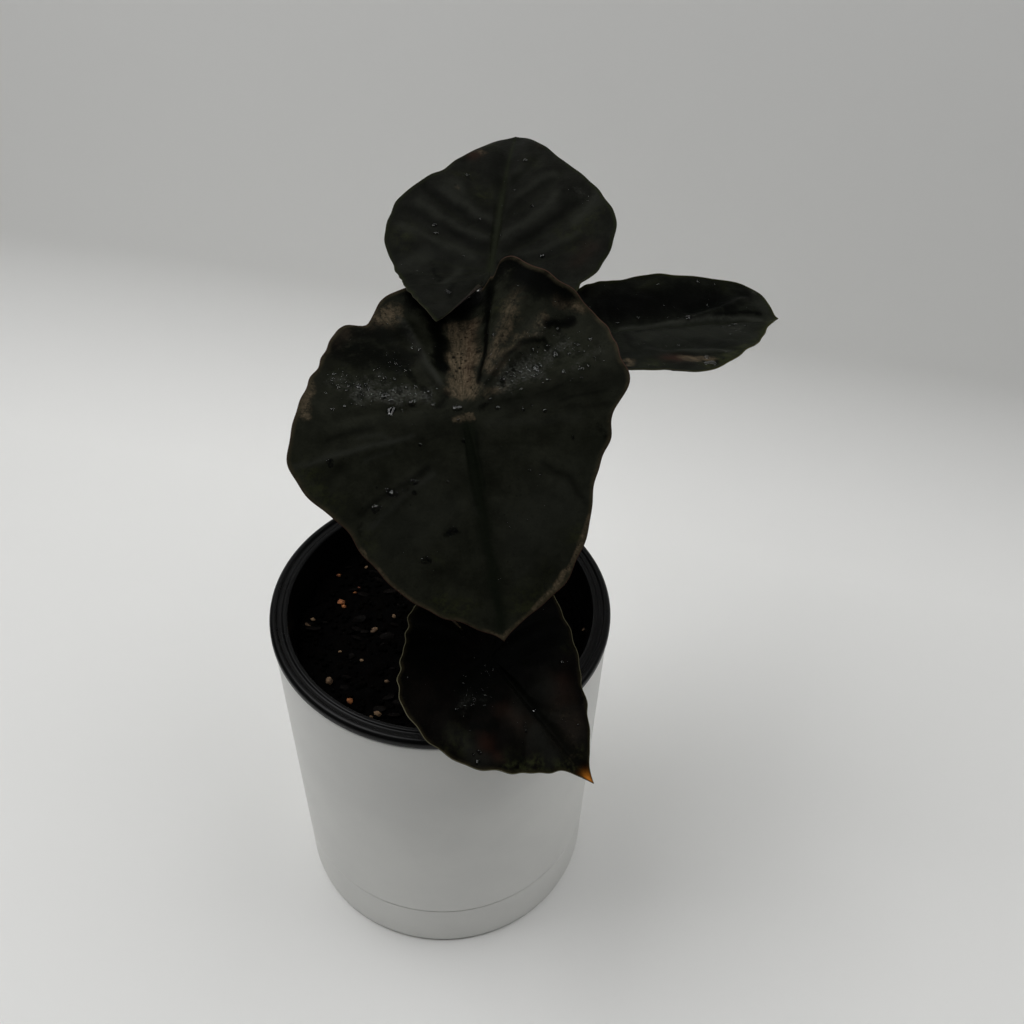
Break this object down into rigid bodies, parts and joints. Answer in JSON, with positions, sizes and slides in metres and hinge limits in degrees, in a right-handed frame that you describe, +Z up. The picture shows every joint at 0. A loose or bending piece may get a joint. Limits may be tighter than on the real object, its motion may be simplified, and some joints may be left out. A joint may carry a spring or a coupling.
{
  "type": "potted alocasia infernalis",
  "caption": "Small jewel alocasia with dark shield-shaped leaves on slim stalks, in a black grower's pot inside a round white planter with a flush saucer.",
  "frame": {"origin": "centre of the saucer's flat underside, on the pots' common axis", "axes": "+Z up along the pots' axis; the front leaf's tip points towards -Y and the right-hand leaf towards +X"},
  "size_m": [0.1562, 0.1755, 0.2414],
  "materials": {
    "planter_white": "satin moulded",
    "nursery_black": "satin moulded",
    "soil_mix": "damp peat, bark and pumice",
    "stalk": "smooth living stalk",
    "leaf_dark": "dark glossy living leaf"
  },
  "bodies": {
    "root": {"saucer": "planter_white", "planter": "planter_white", "nursery_pot": "nursery_black", "soil": "soil_mix", "crown": "stalk", "petiole_front": "stalk", "petiole_back": "stalk", "petiole_right": "stalk", "petiole_low": "stalk", "leaf_front": "leaf_dark", "leaf_back": "leaf_dark", "leaf_right": "leaf_dark", "leaf_low": "leaf_dark"}
  },
  "joints": []
}
